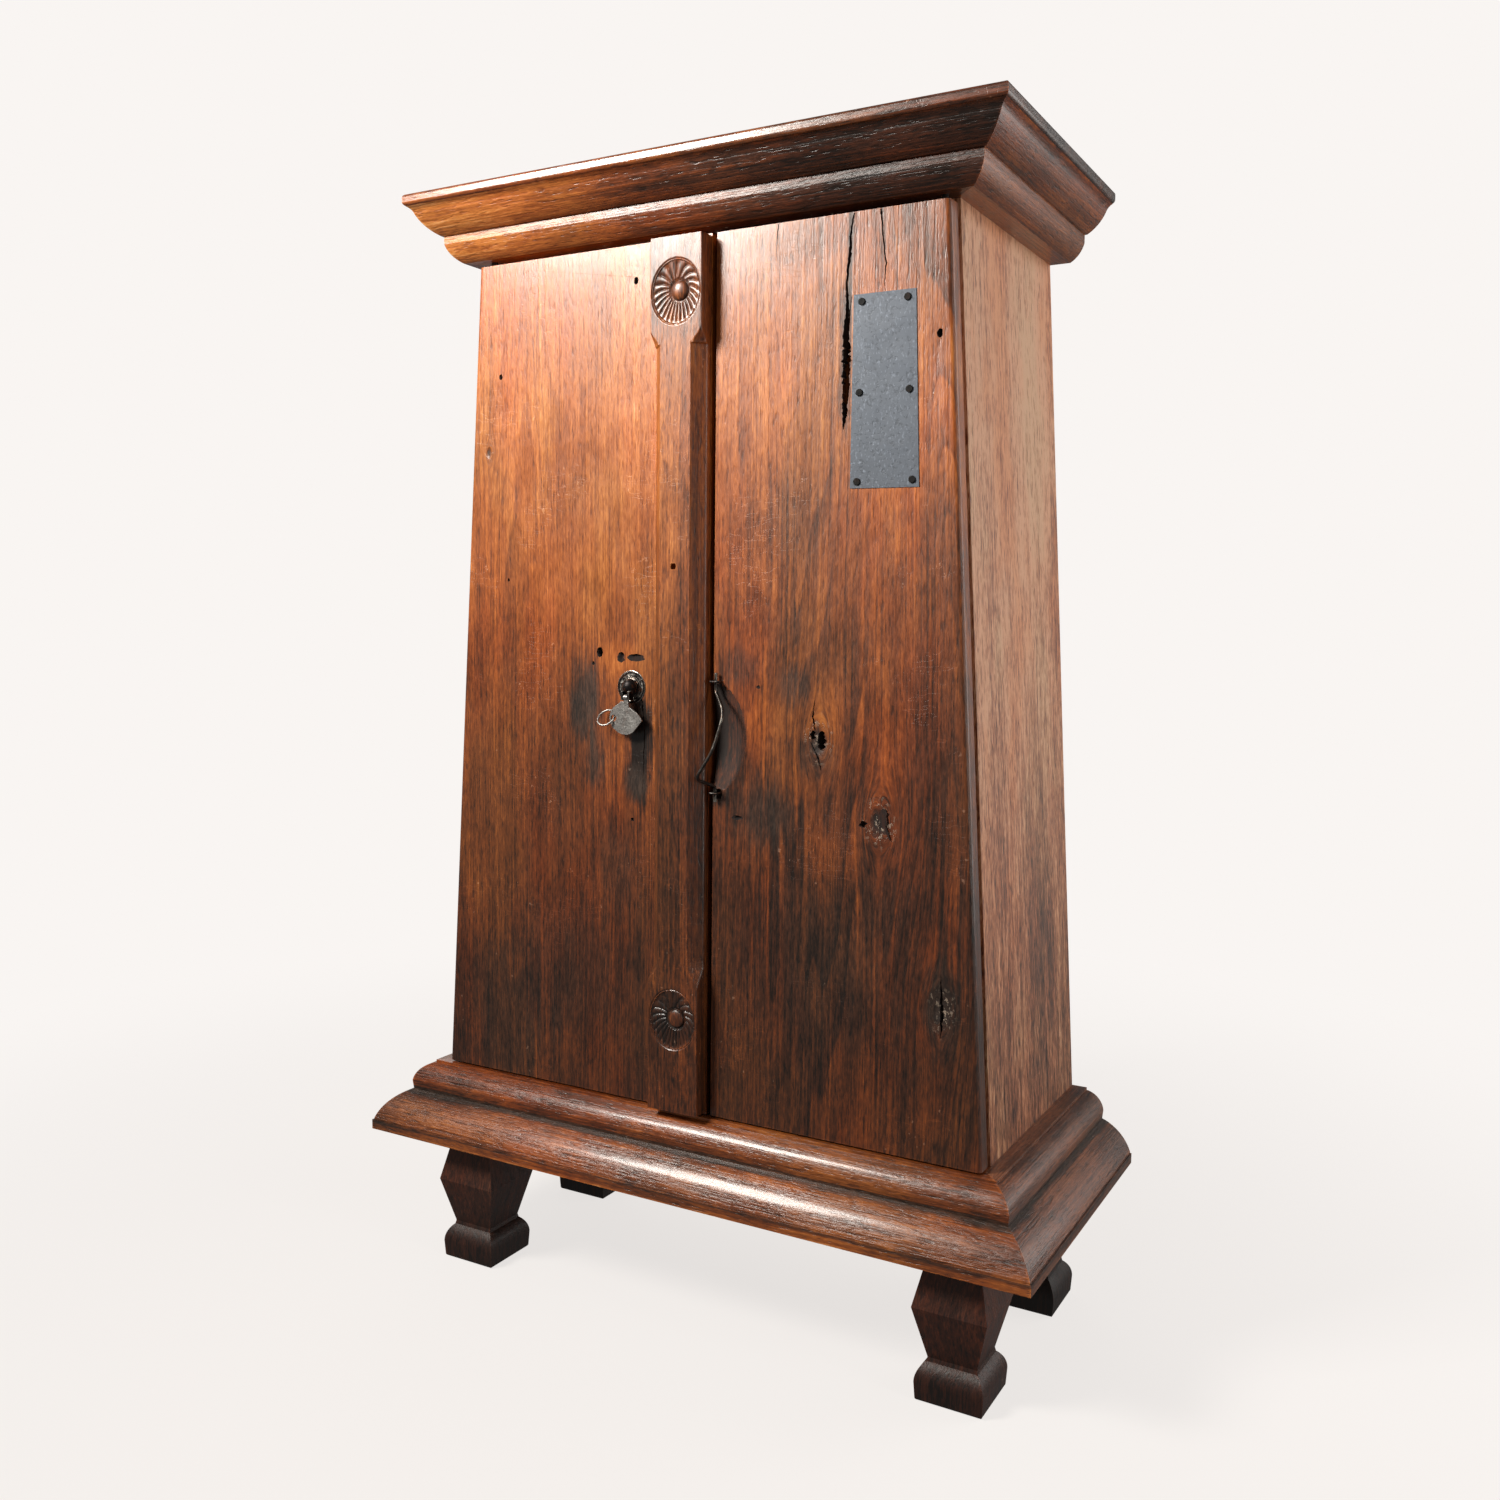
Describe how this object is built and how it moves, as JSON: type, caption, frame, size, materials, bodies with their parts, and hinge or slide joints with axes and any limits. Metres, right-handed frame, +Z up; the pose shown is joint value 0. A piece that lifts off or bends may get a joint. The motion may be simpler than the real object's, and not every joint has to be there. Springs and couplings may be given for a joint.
{
  "type": "icebox",
  "caption": "Tapered wooden icebox cabinet on feet, with two plain doors, a moulded cornice and base, and a zinc-lined, cork-insulated inside.",
  "frame": {"origin": "middle of the footprint, on the floor", "axes": "+Z up, -Y towards the front of the doors, +X along the front"},
  "size_m": [0.795, 0.3564, 1.201],
  "materials": {
    "oiled_hardwood": "satin, waxed",
    "dark_base_wood": "satin, waxed",
    "foot_wood": "dull, dark",
    "inner_wood": "unfinished",
    "cork": "raw",
    "zinc": "dull sheet",
    "patch_metal": "weathered sheet",
    "forged_iron": "forged, dark",
    "worn_iron": "worn bright"
  },
  "bodies": {
    "case": {"back_boards": "inner_wood", "base_frame_front": "dark_base_wood", "base_frame_left": "dark_base_wood", "base_frame_rear": "dark_base_wood", "base_frame_right": "dark_base_wood", "base_rail": "dark_base_wood", "base_torus_front": "dark_base_wood", "base_torus_left": "dark_base_wood", "base_torus_right": "dark_base_wood", "ceiling_board": "inner_wood", "cleats": "inner_wood", "cork_back": "cork", "cork_ceiling": "cork", "cork_floor": "cork", "cork_left": "cork", "cork_right": "cork", "cornice_front": "oiled_hardwood", "cornice_left": "oiled_hardwood", "cornice_rail": "oiled_hardwood", "cornice_right": "oiled_hardwood", "drain_tube": "zinc", "drip_pan": "zinc", "floor_board": "inner_wood", "front_left_foot": "foot_wood", "front_right_foot": "foot_wood", "hinge_pins": "forged_iron", "ice_pan": "zinc", "left_side": "oiled_hardwood", "left_stile": "inner_wood", "liner_back": "zinc", "liner_ceiling": "zinc", "liner_floor": "zinc", "liner_left": "zinc", "liner_right": "zinc", "lower_shelf": "inner_wood", "rear_left_foot": "foot_wood", "rear_right_foot": "foot_wood", "right_side": "oiled_hardwood", "right_stile": "inner_wood", "top_board": "oiled_hardwood", "upper_shelf": "inner_wood"},
    "left_door": {"left_door": "oiled_hardwood", "left_battens": "inner_wood", "center_strip": "oiled_hardwood", "latch_rosette": "forged_iron"},
    "right_door": {"right_door": "oiled_hardwood", "right_battens": "inner_wood", "patch_plate": "patch_metal", "patch_nails": "forged_iron", "latch_keeper": "forged_iron", "pull_staples": "forged_iron", "bolt_guides": "forged_iron"},
    "latch": {"latch_spindle": "forged_iron", "latch_bar": "forged_iron"},
    "drop": {"drop_handle": "worn_iron", "drop_ring": "worn_iron"},
    "pull": {"pull_handle": "forged_iron"},
    "top_bolt": {"top_bolt": "forged_iron"},
    "bottom_bolt": {"bottom_bolt": "forged_iron"}
  },
  "joints": [
    {"name": "left_door_hinge", "type": "hinge", "parent": "case", "child": "left_door", "pos_m": [-0.291, -0.10725, 0.6755], "axis": [-0.0599, 0, -0.9982], "range_deg": [0, 110]},
    {"name": "right_door_hinge", "type": "hinge", "parent": "case", "child": "right_door", "pos_m": [0.291, -0.10725, 0.6755], "axis": [-0.0599, 0, 0.9982], "range_deg": [0, 110]},
    {"name": "latch_turn", "type": "hinge", "parent": "left_door", "child": "latch", "pos_m": [-0.0715, -0.12075, 0.6725], "axis": [0, 1, 0], "range_deg": [0, 90]},
    {"name": "drop_swing", "type": "hinge", "parent": "latch", "child": "drop", "pos_m": [-0.0715, -0.13075, 0.662], "axis": [-1, 0, 0], "range_deg": [0, 75]},
    {"name": "pull_swing", "type": "hinge", "parent": "right_door", "child": "pull", "pos_m": [0.0345, -0.12475, 0.6245], "axis": [0, 0, 1], "range_deg": [-15, 30]},
    {"name": "top_bolt_slide", "type": "slide", "parent": "right_door", "child": "top_bolt", "axis": [0, 0, 1], "range_m": [0, 0.016]},
    {"name": "bottom_bolt_slide", "type": "slide", "parent": "right_door", "child": "bottom_bolt", "axis": [0, 0, -1], "range_m": [0, 0.016]}
  ]
}
